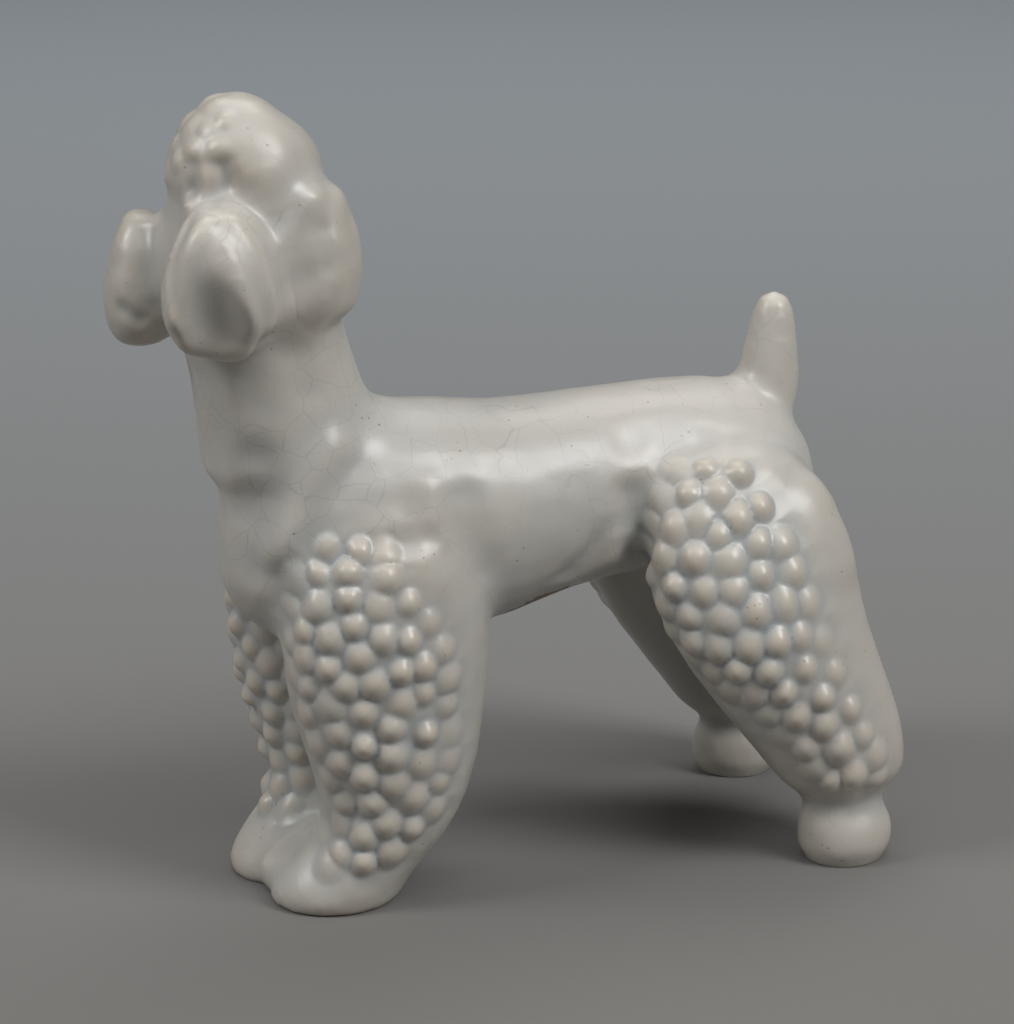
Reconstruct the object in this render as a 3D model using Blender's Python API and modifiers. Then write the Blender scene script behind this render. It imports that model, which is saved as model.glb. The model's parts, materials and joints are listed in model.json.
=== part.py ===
"""Glazed ceramic figurine of a standing poodle, as the cast clay pieces that are luted together.

The dog faces -X, its left side is -Y, and it stands on Z = 0.  Units are metres.
"""
import math

import bmesh
import bpy
from mathutils import Vector

# clearances and wall
SEAM = 0.0003               # gap left where two luted pieces meet
CAST_WALL = 0.004           # thickness of the hollow torso's wall
SOLE_DEPTH = 0.002          # how far a paw's cage runs below the floor before it is cut flat

# torso
BACK_HEIGHT = 0.0955        # saddle of the back above the floor
BODY_LENGTH = 0.124         # chest to rump
BODY_FRONT = -0.0588        # X of the chest's foremost point
BODY_DEPTH = 0.044          # height of the barrel
BODY_WIDTH = 0.041          # width of the barrel
POUR_HOLE_LENGTH = 0.017    # casting hole under the belly, along X
POUR_HOLE_WIDTH = 0.012
POUR_HOLE_SETBACK = 0.064   # chest to the middle of the hole

# neck
NECK_LENGTH = 0.046         # from inside the shoulders to inside the skull
NECK_DEPTH = 0.032          # front to back under the head
NECK_WIDTH = 0.027
NECK_SINK = 0.013           # how far the neck's root starts below the back
NECK_SETBACK = 0.0155       # chest to the middle of the neck's root

# head, in axes turned with the face
HEAD_TURN = math.radians(57.0)      # the face looks this far round to the dog's left
HEAD_LEAN = 0.0090          # the skull's middle ahead of the neck's root
SKULL_HEIGHT = 0.030
SKULL_WIDTH = 0.030
SKULL_SINK = 0.010          # how far the skull reaches down over the neck's top
TOPKNOT_HEIGHT = 0.0200
TOPKNOT_WIDTH = 0.0295
TOPKNOT_OVERLAP = 0.008     # how far the topknot sits down over the skull
MUZZLE_LENGTH = 0.027       # skull's middle to the nose
MUZZLE_HEIGHT = 0.030
MUZZLE_WIDTH = 0.0195
MUZZLE_DROP = 0.0045        # muzzle's lowest point below the skull's
EAR_HEIGHT = 0.026
EAR_DEPTH = 0.020           # front to back of an ear's puff
EAR_THICKNESS = 0.0145
RIGHT_EAR_STANDOFF = 0.0055     # skull's side to the right ear's middle
LEFT_EAR_STANDOFF = 0.0000
RIGHT_EAR_DROP = 0.0068      # right ear's foot below the skull's lowest point
LEFT_EAR_DROP = 0.000

# tail
TAIL_LENGTH = 0.0255
TAIL_THICKNESS = 0.0125
TAIL_SINK = 0.008           # how far the tail's root starts below the back
TAIL_INSET = 0.0080         # rump to the middle of the tail

# legs
FORELEG_DEPTH = 0.041       # front to back across the puffed hair
FORELEG_WIDTH = 0.0265
FORELEG_TOP_DROP = 0.0095   # back to where the puff ends inside the shoulder
FORELEG_SETBACK = 0.029     # chest to the middle of a foreleg's puff
RIGHT_FORELEG_LEAD = 0.0030     # the right foreleg stands this far ahead of the left
HINDLEG_DEPTH = 0.044
HINDLEG_WIDTH = 0.027
HINDLEG_TOP_DROP = 0.0085
HINDLEG_INSET = 0.0225      # rump to the middle of a thigh
HINDLEG_SPREAD = 0.0225     # middle plane to the middle of a thigh

GLAZE = (0.42, 0.405, 0.365)
GLAZE_ROUGHNESS = 0.28
RING_SIDES = 12
SUBDIVISION_LEVEL = 1
RING_SHRINK = (2.0 + math.cos(math.tau / RING_SIDES)) / 3.0     # a subdivided ring's radius over its cage's

# Profiles.  Each row is one ring: share of the length, shift along the depth and the width as shares
# of the half depth and half width, then half depth and half width as shares of their own halves.
TORSO_PROFILE = [
    (0.00, 0.02, 0.0, 0.30, 0.28), (0.03, -0.02, 0.0, 0.72, 0.62), (0.10, -0.06, 0.0, 1.05, 0.86),
    (0.20, -0.03, 0.0, 1.14, 1.00), (0.32, -0.04, 0.0, 1.10, 1.02), (0.45, -0.03, 0.0, 0.98, 0.98),
    (0.58, -0.16, 0.0, 0.87, 0.90), (0.72, -0.21, 0.0, 0.85, 0.90), (0.84, -0.19, 0.0, 0.87, 0.94),
    (0.93, -0.12, 0.0, 0.80, 0.86), (0.985, -0.02, 0.0, 0.58, 0.58), (1.00, 0.03, 0.0, 0.30, 0.28),
]
NECK_PROFILE = [
    (0.00, 0.00, 0.0, 1.05, 1.15), (0.18, -0.05, 0.0, 1.12, 1.18), (0.38, -0.16, 0.0, 1.06, 1.06),
    (0.58, -0.32, 0.0, 1.00, 1.00), (0.78, -0.44, 0.0, 0.98, 0.98), (1.00, -0.50, 0.0, 0.86, 0.90),
]
SKULL_PROFILE = [
    (0.00, 0.00, 0.0, 0.55, 0.60), (0.12, 0.00, 0.0, 0.86, 0.90), (0.35, 0.00, 0.0, 1.00, 1.02),
    (0.62, 0.00, 0.0, 1.00, 1.02), (0.86, 0.00, 0.0, 0.80, 0.84), (1.00, 0.00, 0.0, 0.45, 0.50),
]
TOPKNOT_PROFILE = [
    (0.00, 0.00, 0.0, 0.62, 0.62), (0.06, 0.00, 0.0, 0.93, 0.93), (0.19, 0.00, 0.0, 1.01, 1.01),
    (0.45, 0.00, 0.0, 0.95, 0.95), (0.72, 0.00, 0.0, 0.77, 0.77), (0.92, 0.00, 0.0, 0.47, 0.47),
    (1.00, 0.00, 0.0, 0.20, 0.20),
]
MUZZLE_PROFILE = [
    (0.20, 0.00, 0.0, 0.98, 0.98), (0.45, 0.02, 0.0, 1.00, 1.04), (0.70, 0.06, 0.0, 0.97, 1.04),
    (0.88, 0.10, 0.0, 0.86, 0.92), (0.97, 0.12, 0.0, 0.68, 0.70), (1.00, 0.12, 0.0, 0.40, 0.40),
]
EAR_PROFILE = [
    (0.00, 0.00, 0.0, 0.50, 0.50), (0.10, 0.00, 0.0, 0.86, 0.86), (0.32, 0.00, 0.0, 1.02, 1.02),
    (0.58, 0.00, 0.0, 0.94, 0.92), (0.82, 0.00, 0.0, 0.70, 0.66), (1.00, 0.00, 0.0, 0.34, 0.32),
]
TAIL_PROFILE = [
    (0.00, 0.00, 0.0, 1.20, 1.25), (0.25, 0.02, 0.0, 1.02, 1.05), (0.50, 0.12, 0.0, 0.86, 0.88),
    (0.75, 0.20, 0.0, 0.72, 0.72), (0.92, 0.22, 0.0, 0.52, 0.52), (1.00, 0.22, 0.0, 0.26, 0.26),
]
FORELEG_PROFILE = [
    (0.00, -0.47, 0.34, 0.62, 0.84), (0.06, -0.47, 0.34, 0.67, 0.92), (0.125, -0.24, 0.20, 0.66, 0.80),
    (0.22, 0.09, 0.04, 0.63, 0.80), (0.35, 0.09, 0.00, 0.81, 0.94), (0.50, 0.02, 0.00, 0.96, 1.02),
    (0.66, 0.00, 0.00, 1.03, 1.04), (0.81, -0.01, 0.04, 0.98, 0.98), (0.93, 0.00, 0.16, 0.76, 0.76),
    (1.00, 0.00, 0.24, 0.42, 0.42),
]
HINDLEG_PROFILE = [
    (0.00, 1.00, -0.30, 0.42, 0.62), (0.06, 1.00, -0.30, 0.46, 0.68), (0.13, 1.01, -0.28, 0.46, 0.66),
    (0.24, 0.97, -0.16, 0.64, 0.86), (0.36, 0.75, -0.10, 0.80, 0.98), (0.50, 0.40, -0.04, 0.90, 1.02),
    (0.65, 0.13, 0.02, 1.00, 1.00), (0.80, 0.04, 0.14, 0.99, 0.84), (0.93, 0.00, 0.34, 0.76, 0.60),
    (1.00, -0.04, 0.44, 0.44, 0.36),
]


def clear_scene():
    for item in list(bpy.data.objects):
        bpy.data.objects.remove(item, do_unlink=True)


def make_collection(name):
    collection = bpy.data.collections.new(name)
    bpy.context.scene.collection.children.link(collection)
    return collection


def glaze_material(name, tint):
    material = bpy.data.materials.new(name)
    material.use_nodes = True
    shader = material.node_tree.nodes["Principled BSDF"]
    shader.inputs["Base Color"].default_value = (*(channel * tint for channel in GLAZE), 1.0)
    shader.inputs["Roughness"].default_value = GLAZE_ROUGHNESS
    shader.inputs["Metallic"].default_value = 0.0
    return material


def cage_mesh(name, profile, length, depth, width, pear=0.0, hand=1):
    """Elliptic rings along +Z, bridged and closed at both ends.

    Pear widens the +X side of each ring, and a hand of -1 mirrors the form in Y.
    """
    cage = bmesh.new()
    loops = []
    for along, shift_depth, shift_width, half_depth, half_width in profile:
        ring = []
        for side in range(RING_SIDES):
            angle = math.tau * side / RING_SIDES
            flare = 1.0 + pear * math.cos(angle)
            x = depth / 2 * (shift_depth + half_depth * math.cos(angle) / RING_SHRINK)
            y = width / 2 * (shift_width + half_width * math.sin(angle) * flare / RING_SHRINK)
            ring.append(cage.verts.new((x, hand * y, length * along)))
        loops.append(ring)
    for lower, upper in zip(loops, loops[1:]):
        for side in range(RING_SIDES):
            after = (side + 1) % RING_SIDES
            cage.faces.new((lower[side], lower[after], upper[after], upper[side]))
    cage.faces.new(list(reversed(loops[0])))
    cage.faces.new(loops[-1])
    bmesh.ops.recalc_face_normals(cage, faces=cage.faces)
    mesh = bpy.data.meshes.new(name)
    cage.to_mesh(mesh)
    cage.free()
    mesh.shade_smooth()
    return mesh


def add_subdivision(item):
    smooth = item.modifiers.new("round", "SUBSURF")
    smooth.levels = SUBDIVISION_LEVEL
    smooth.render_levels = SUBDIVISION_LEVEL


def add_form(name, mesh, collection, location, rotation=(0.0, 0.0, 0.0)):
    item = bpy.data.objects.new(name, mesh)
    item.location = location
    item.rotation_euler = rotation
    collection.objects.link(item)
    add_subdivision(item)
    return item


def add_cutter(name, mesh, collection, like, grow):
    """The same form as another piece, with every face moved out by grow."""
    cutter = add_form(name, mesh, collection, like.location, like.rotation_euler)
    swell = cutter.modifiers.new("grow", "DISPLACE")
    swell.direction = "NORMAL"
    swell.mid_level = 0.0
    swell.strength = grow
    cutter.hide_render = True
    cutter.display_type = "WIRE"
    return cutter


def cut_with(item, cutter, solver="EXACT"):
    cut = item.modifiers.new("cut_" + cutter.name, "BOOLEAN")
    cut.operation = "DIFFERENCE"
    cut.solver = solver
    cut.object = cutter


def box_cutter(name, collection, low, high):
    mesh = bpy.data.meshes.new(name)
    block = bmesh.new()
    bmesh.ops.create_cube(block, size=1.0)
    size = Vector(high) - Vector(low)
    middle = (Vector(high) + Vector(low)) / 2
    bmesh.ops.scale(block, vec=size, verts=block.verts)
    bmesh.ops.translate(block, vec=middle, verts=block.verts)
    block.to_mesh(mesh)
    block.free()
    item = bpy.data.objects.new(name, mesh)
    item.hide_render = True
    item.display_type = "WIRE"
    collection.objects.link(item)
    return item


def pour_hole_cutter(collection):
    mesh = bpy.data.meshes.new("pour_hole")
    plug = bmesh.new()
    bmesh.ops.create_cone(plug, cap_ends=True, segments=20, radius1=0.5, radius2=0.5, depth=BODY_DEPTH)
    bmesh.ops.scale(plug, vec=(POUR_HOLE_LENGTH, POUR_HOLE_WIDTH, 1.0), verts=plug.verts)
    plug.to_mesh(mesh)
    plug.free()
    item = bpy.data.objects.new("pour_hole", mesh)
    item.location = (BODY_FRONT + POUR_HOLE_SETBACK, 0.0, BACK_HEIGHT - BODY_DEPTH)
    item.hide_render = True
    item.display_type = "WIRE"
    collection.objects.link(item)
    return item


def face_offset(forward, right):
    """A horizontal step in the head's axes, as world X and Y."""
    face = Vector((-math.cos(HEAD_TURN), -math.sin(HEAD_TURN)))
    side = Vector((-math.sin(HEAD_TURN), math.cos(HEAD_TURN)))
    return face * forward + side * right


def build():
    clear_scene()
    parts = make_collection("ceramic_dog")
    cutters = make_collection("cutters")

    # heights and places worked out from the sizes above
    barrel_middle = BACK_HEIGHT - BODY_DEPTH / 2
    rump = BODY_FRONT + BODY_LENGTH
    neck_root = (BODY_FRONT + NECK_SETBACK, 0.0, BACK_HEIGHT - NECK_SINK)
    skull_base = BACK_HEIGHT - NECK_SINK + NECK_LENGTH - SKULL_SINK
    head_x = BODY_FRONT + NECK_SETBACK - HEAD_LEAN

    # torso: lies along X, its depth axis points down
    torso_mesh = cage_mesh("torso", TORSO_PROFILE, BODY_LENGTH, BODY_DEPTH, BODY_WIDTH)
    torso = add_form("torso", torso_mesh, parts, (BODY_FRONT, 0.0, barrel_middle), (0.0, math.pi / 2, 0.0))
    torso_seat = add_cutter("torso_seat", torso_mesh, cutters, torso, SEAM)
    cavity = add_cutter("torso_cavity", torso_mesh, cutters, torso, -CAST_WALL)
    cut_with(torso, cavity)
    cut_with(torso, pour_hole_cutter(cutters))

    # head block: skull, then what sits on it
    skull_mesh = cage_mesh("skull", SKULL_PROFILE, SKULL_HEIGHT, SKULL_WIDTH, SKULL_WIDTH)
    head_spin = (0.0, 0.0, HEAD_TURN)
    skull = add_form("skull", skull_mesh, parts, (head_x, 0.0, skull_base), head_spin)
    skull_seat = add_cutter("skull_seat", skull_mesh, cutters, skull, SEAM)

    topknot_base = skull_base + SKULL_HEIGHT - TOPKNOT_OVERLAP
    topknot_mesh = cage_mesh("topknot", TOPKNOT_PROFILE, TOPKNOT_HEIGHT, TOPKNOT_WIDTH, TOPKNOT_WIDTH)
    half_side = (0.0, 0.0, HEAD_TURN + math.pi / RING_SIDES)     # its edges fall between the skull's
    topknot = add_form("topknot", topknot_mesh, parts, (head_x, 0.0, topknot_base), half_side)
    topknot_seat = add_cutter("topknot_seat", topknot_mesh, cutters, topknot, SEAM)
    cut_with(skull, topknot_seat)

    neck_mesh = cage_mesh("neck", NECK_PROFILE, NECK_LENGTH, NECK_DEPTH, NECK_WIDTH)
    neck = add_form("neck", neck_mesh, parts, neck_root)
    neck_seat = add_cutter("neck_seat", neck_mesh, cutters, neck, SEAM)
    cut_with(neck, torso_seat)
    cut_with(neck, skull_seat)

    # muzzle: its length axis points where the face looks, its depth axis down
    muzzle_mesh = cage_mesh("muzzle", MUZZLE_PROFILE, MUZZLE_LENGTH, MUZZLE_HEIGHT, MUZZLE_WIDTH, pear=0.24)
    muzzle_place = (head_x, 0.0, skull_base - MUZZLE_DROP + MUZZLE_HEIGHT / 2)
    muzzle = add_form("muzzle", muzzle_mesh, parts, muzzle_place, (0.0, math.pi / 2, math.pi + HEAD_TURN))
    muzzle_seat = add_cutter("muzzle_seat", muzzle_mesh, cutters, muzzle, SEAM)
    for seat in (skull_seat, topknot_seat, neck_seat):
        cut_with(muzzle, seat, "MANIFOLD")

    ear_mesh = cage_mesh("ear", EAR_PROFILE, EAR_HEIGHT, EAR_DEPTH, EAR_THICKNESS)
    ears = (("ear_right", 1, RIGHT_EAR_STANDOFF, RIGHT_EAR_DROP), ("ear_left", -1, LEFT_EAR_STANDOFF, LEFT_EAR_DROP))
    for name, side, standoff, drop in ears:
        step = face_offset(0.0, side * (SKULL_WIDTH / 2 + standoff))
        ear = add_form(name, ear_mesh, parts, (head_x + step.x, step.y, skull_base - drop), head_spin)
        for seat in (skull_seat, topknot_seat, neck_seat, muzzle_seat):
            cut_with(ear, seat)

    tail_mesh = cage_mesh("tail", TAIL_PROFILE, TAIL_LENGTH, TAIL_THICKNESS, TAIL_THICKNESS)
    tail = add_form("tail", tail_mesh, parts, (rump - TAIL_INSET, 0.0, BACK_HEIGHT - TAIL_SINK))
    cut_with(tail, torso_seat)

    reach = 3 * BACK_HEIGHT
    floor = box_cutter("floor_block", cutters, (-reach, -reach, -reach), (reach, reach, 0.0))
    for side_name, side in (("left", -1), ("right", 1)):
        near, far = sorted((side * SEAM / 2, -side * reach))
        halfway = box_cutter("halfway_" + side_name, cutters, (-reach, near, -reach), (reach, far, reach))
        lead = RIGHT_FORELEG_LEAD if side > 0 else 0.0
        foreleg_height = BACK_HEIGHT - FORELEG_TOP_DROP + SOLE_DEPTH
        foreleg_mesh = cage_mesh("foreleg", FORELEG_PROFILE, foreleg_height, FORELEG_DEPTH, FORELEG_WIDTH, hand=-side)
        hindleg_height = BACK_HEIGHT - HINDLEG_TOP_DROP + SOLE_DEPTH
        hindleg_mesh = cage_mesh("hindleg", HINDLEG_PROFILE, hindleg_height, HINDLEG_DEPTH, HINDLEG_WIDTH, hand=-side)
        foreleg_place = (BODY_FRONT + FORELEG_SETBACK - lead, side * (FORELEG_WIDTH / 2), -SOLE_DEPTH)
        hindleg_place = (rump - HINDLEG_INSET, side * HINDLEG_SPREAD, -SOLE_DEPTH)
        for name, mesh, place in (
            ("foreleg_" + side_name, foreleg_mesh, foreleg_place),
            ("hindleg_" + side_name, hindleg_mesh, hindleg_place),
        ):
            leg = add_form(name, mesh, parts, place)
            for cutter in (torso_seat, neck_seat, halfway, floor):
                cut_with(leg, cutter)

    for index, item in enumerate(parts.objects):
        tint = 1.0 - 0.02 * (index % 3)
        item.data = item.data.copy()
        item.data.materials.append(glaze_material(item.name + "_glaze", tint))


build()
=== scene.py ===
import json
import math

import bmesh
import bpy
import numpy as np
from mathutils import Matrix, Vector, noise
from mathutils.bvhtree import BVHTree
from mathutils.kdtree import KDTree


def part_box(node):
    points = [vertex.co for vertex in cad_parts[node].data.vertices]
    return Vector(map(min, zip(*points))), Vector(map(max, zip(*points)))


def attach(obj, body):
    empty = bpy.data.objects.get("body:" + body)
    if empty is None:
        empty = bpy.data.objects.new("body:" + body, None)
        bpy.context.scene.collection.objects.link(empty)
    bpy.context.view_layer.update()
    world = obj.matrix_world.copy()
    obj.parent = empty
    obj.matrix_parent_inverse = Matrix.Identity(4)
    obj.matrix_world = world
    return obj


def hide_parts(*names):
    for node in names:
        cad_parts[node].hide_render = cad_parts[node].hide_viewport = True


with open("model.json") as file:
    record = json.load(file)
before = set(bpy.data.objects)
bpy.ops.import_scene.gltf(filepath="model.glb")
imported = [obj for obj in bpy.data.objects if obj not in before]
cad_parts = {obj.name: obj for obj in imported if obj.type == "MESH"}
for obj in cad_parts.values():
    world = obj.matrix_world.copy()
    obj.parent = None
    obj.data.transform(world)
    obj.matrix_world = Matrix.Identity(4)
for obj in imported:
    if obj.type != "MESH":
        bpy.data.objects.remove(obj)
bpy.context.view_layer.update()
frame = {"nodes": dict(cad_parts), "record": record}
mm = 0.001
rng = np.random.default_rng(7)
pieceNames = sorted(frame["nodes"])
print("frame loaded:", len(pieceNames), "pieces")

headTurn = 57                                  # degrees from straight ahead towards the dog's left
weld = 0.01 * mm                               # points of a CAD mesh this close are one point
lift = 0.05 * mm                               # start of a test ray above its own face


def smooth(value):
    value = np.clip(value, 0.0, 1.0)
    return value * value * (3 - 2 * value)


def mergedCopy(nodeName):
    bm = bmesh.new()
    bm.from_mesh(frame["nodes"][nodeName].data)
    bmesh.ops.remove_doubles(bm, verts=bm.verts, dist=weld)
    bm.normal_update()
    return bm


def islands(bm):
    bm.verts.ensure_lookup_table()
    bm.verts.index_update()
    seen = set()
    groups = []
    for start in bm.verts:
        if start.index in seen:
            continue
        seen.add(start.index)
        queue, group = [start], []
        while queue:
            vert = queue.pop()
            group.append(vert)
            for edge in vert.link_edges:
                other = edge.other_vert(vert)
                if other.index not in seen:
                    seen.add(other.index)
                    queue.append(other)
        groups.append(group)
    return sorted(groups, key=len, reverse=True)


def keepLargest(bm):
    for group in islands(bm)[1:]:
        bmesh.ops.delete(bm, geom=group, context="VERTS")
    bm.normal_update()


def closeHoles(bm):
    bmesh.ops.holes_fill(bm, edges=[e for e in bm.edges if e.is_boundary], sides=0)
    bmesh.ops.triangulate(bm, faces=[f for f in bm.faces if len(f.verts) > 4])
    bmesh.ops.recalc_face_normals(bm, faces=bm.faces)


def wallSides(bm, wantOuter):
    # one wall of the hollow casting: faces whose normal looks out, or looks into the hollow
    tree = BVHTree.FromBMesh(bm)
    drop = []
    for face in bm.faces:
        hit = tree.ray_cast(face.calc_center_median() + face.normal * lift, face.normal)
        if (hit[0] is None) != wantOuter:
            drop.append(face)
    bmesh.ops.delete(bm, geom=drop, context="FACES")
    keepLargest(bm)
    closeHoles(bm)
    return bm


def meshOf(bm, name):
    mesh = bpy.data.meshes.new(name)
    bm.to_mesh(mesh)
    return mesh


def linked(name, mesh):
    piece = bpy.data.objects.new(name, mesh)
    bpy.context.scene.collection.objects.link(piece)
    return piece


def applied(piece):
    graph = bpy.context.evaluated_depsgraph_get()
    solid = piece.evaluated_get(graph)
    mesh = bpy.data.meshes.new_from_object(solid, preserve_all_data_layers=True, depsgraph=graph)
    old = piece.data
    piece.modifiers.clear()
    piece.data = mesh
    bpy.data.meshes.remove(old)
    return piece


def grow(piece, amount, voxel=None):
    swell = piece.modifiers.new("swell", "DISPLACE")
    swell.strength = amount
    swell.mid_level = 0.0
    if voxel:
        blocks = piece.modifiers.new("voxels", "REMESH")
        blocks.mode = "VOXEL"
        blocks.voxel_size = voxel
    return applied(piece)


def carve(piece, other, how):
    cut = piece.modifiers.new("cut", "BOOLEAN")
    cut.operation = how
    cut.solver = "MANIFOLD"
    cut.object = other
    return applied(piece)


class Skin:
    # the clay's points as arrays, with quick sums over each point's neighbours
    def __init__(self, mesh):
        self.mesh = mesh
        count = len(mesh.vertices)
        self.co = np.empty(count * 3)
        mesh.vertices.foreach_get("co", self.co)
        self.co = self.co.reshape(-1, 3)
        ends = np.empty(len(mesh.edges) * 2, int)
        mesh.edges.foreach_get("vertices", ends)
        ends = ends.reshape(-1, 2)
        near = np.concatenate([ends[:, 0], ends[:, 1]])
        far = np.concatenate([ends[:, 1], ends[:, 0]])
        order = np.argsort(near, kind="stable")
        self.far = far[order]
        self.starts = np.searchsorted(near[order], np.arange(count))
        self.valence = np.bincount(near, minlength=count)

    def around(self, values):
        total = np.add.reduceat(values[self.far], self.starts, axis=0)
        return total / (self.valence[:, None] if values.ndim > 1 else self.valence)

    def normals(self, calm=0):
        self.mesh.vertices.foreach_set("co", self.co.reshape(-1))
        self.mesh.update()
        out = np.empty(len(self.co) * 3)
        self.mesh.vertex_normals.foreach_get("vector", out)
        out = out.reshape(-1, 3)
        for _ in range(calm):
            out = self.around(out)
        return out / np.maximum(np.linalg.norm(out, axis=1), 1e-9)[:, None]

    def relax(self, rounds, weight=1.0, inward=0.5, outward=-0.52):
        weight = weight if np.isscalar(weight) else weight[:, None]
        for _ in range(rounds):
            for step in (inward, outward):
                self.co += weight * step * (self.around(self.co) - self.co)

    def fill(self, rounds, weight, refresh=8, least=0.004, pace=0.9):
        # clay only moves outward here, so hollows round off and the forms keep their girth
        picked = np.nonzero(weight > least)[0]
        counts = self.valence[picked]
        begins = np.concatenate([[0], np.cumsum(counts)[:-1]])
        slots = np.repeat(self.starts[picked] - begins, counts) + np.arange(counts.sum())
        beside = self.far[slots]
        share = weight[picked] * pace
        for turn in range(rounds):
            if turn % refresh == 0:
                normal = self.normals()[picked]
            mean = np.add.reduceat(self.co[beside], begins, axis=0) / counts[:, None]
            rise = np.maximum(((mean - self.co[picked]) * normal).sum(1), 0.0)
            self.co[picked] += normal * (rise * share)[:, None]

    def lineDistance(self, line, farAway=1.0):
        best = np.full(len(self.co), farAway)
        for start, end in zip(line[:-1], line[1:]):
            along = end - start
            share = np.clip(((self.co - start) @ along) / max(along @ along, 1e-12), 0.0, 1.0)
            gap = np.linalg.norm(self.co - start - share[:, None] * along, axis=1)
            best = np.minimum(best, gap)
        return best

    def press(self, line, radius, depth, normal, front=0.6, wrap=1.6):
        # a groove along the line, or a ridge where the depth is negative; it fades on faces
        # that look away from the line's own side
        line = [self.co[np.argmin(((self.co - p) ** 2).sum(1))] for p in line]
        if len(line) == 1:
            line = line * 2
        share = np.clip(1.0 - (self.lineDistance(line) / radius) ** 2, 0.0, 1.0) ** 2
        middle = line[len(line) // 2]
        facing = normal[np.argmin(((self.co - middle) ** 2).sum(1))]
        share *= np.clip(front + wrap * (normal @ facing), 0.0, 1.0)
        self.co -= normal * (share * depth)[:, None]

    def ball(self, centre, radius, fullness=0.7):
        share = np.clip(1.0 - ((self.co - centre) ** 2).sum(1) / radius ** 2, 0.0, 1.0)
        return share ** fullness

    def done(self):
        self.mesh.vertices.foreach_set("co", self.co.reshape(-1))
        self.mesh.update()


def middleOf(nodeName):
    low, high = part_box(nodeName)
    return (np.array(low) + np.array(high)) / 2


def spot(nodeName, x, y, z):
    # a place in millimetres from the middle of a CAD piece
    return middleOf(nodeName) + np.array((x, y, z)) * mm


clayBody = dict(
    voxel=1.0 * mm, overlap=0.30 * mm, calming=34, filletRounds=45, filletReach=7 * mm,
    barrelSpread=5, barrelCalming=150, pawHeight=9 * mm, pawShare=0.15, joinCalming=6,
)
shells = {name: mergedCopy(name) for name in pieceNames}
hollowShape = wallSides(shells["torso"].copy(), wantOuter=False)
shells["torso"] = wallSides(shells["torso"], wantOuter=True)
hollowMesh = meshOf(hollowShape, "hollow")
shellMeshes = {name: meshOf(bm, name + "Shell") for name, bm in shells.items()}
lump = bmesh.new()
for name in pieceNames:
    grown = grow(linked("grown", shellMeshes[name].copy()), clayBody["overlap"])
    lump.from_mesh(grown.data)
    bpy.data.objects.remove(grown)
# pads of clay between forms that the real casting runs together: nearest piece, place from its
# middle, radius, in millimetres
clayPads = [
    ("ear_right", 2.5, -5.0, 8.5, 4.2), ("ear_right", 2.2, -5.3, 4, 4.8),
    ("ear_right", 2, -5.5, -0.5, 4.8), ("ear_right", 2, -5.0, -4.5, 4.4),
    ("ear_left", -5, -1.8, 9, 6.0), ("ear_left", -5.5, -1.8, 3, 6.7),
    ("ear_left", -5.5, -1.8, -3, 6.6),
    ("foreleg_left", -17, 12.0, -36.5, 5.0), ("foreleg_left", -13, 11.5, -34, 5.5),
]
for nodeName, x, y, z, radius in clayPads:
    pad = bmesh.new()
    bmesh.ops.create_icosphere(pad, subdivisions=3, radius=radius * mm)
    bmesh.ops.translate(pad, verts=pad.verts, vec=Vector(spot(nodeName, x, y, z)))
    padMesh = meshOf(pad, "pad")
    pad.free()
    lump.from_mesh(padMesh)
    bpy.data.meshes.remove(padMesh)
clay = linked("clay", meshOf(lump, "clay"))
lump.free()
remesh = clay.modifiers.new("voxels", "REMESH")
remesh.mode = "VOXEL"
remesh.voxel_size = clayBody["voxel"]
applied(clay)
bm = bmesh.new()
bm.from_mesh(clay.data)
keepLargest(bm)
bm.to_mesh(clay.data)
bm.free()
skin = Skin(clay.data)
print("clay lump:", len(skin.co), "points")

trees = {name: BVHTree.FromBMesh(bm) for name, bm in shells.items()}


def distanceTo(nodeName, points, limit):
    low, high = (np.array(corner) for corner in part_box(nodeName))
    gap = np.linalg.norm(np.maximum(np.maximum(low - points, points - high), 0.0), axis=1)
    out = np.full(len(points), limit)
    tree = trees[nodeName]
    for i in np.nonzero(gap < limit)[0]:
        hit = tree.find_nearest(points[i], limit)
        if hit[0] is not None:
            out[i] = hit[3]
    return out


skin.relax(clayBody["calming"])
reach = clayBody["filletReach"]
distances = np.stack([distanceTo(name, skin.co, 2 * reach) for name in pieceNames])
owner = np.argmin(distances, axis=0)
second = np.sort(distances, axis=0)[1]
seamShare = smooth(1.0 - second / reach)
seamShare *= np.clip(skin.co[:, 2] / clayBody["pawHeight"], clayBody["pawShare"], 1.0)
barrel = np.isin(owner, [pieceNames.index("torso"), pieceNames.index("neck")]).astype(float)
for _ in range(clayBody["barrelSpread"]):
    barrel = skin.around(barrel)
skin.relax(clayBody["barrelCalming"], weight=barrel)
skin.fill(clayBody["filletRounds"], seamShare)


def touchUp(tool, rows):
    # each row: nearest piece, place from its middle and radius in millimetres, rounds
    for nodeName, x, y, z, radius, rounds in rows:
        tool(rounds, skin.ball(spot(nodeName, x, y, z), radius * mm))


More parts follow.
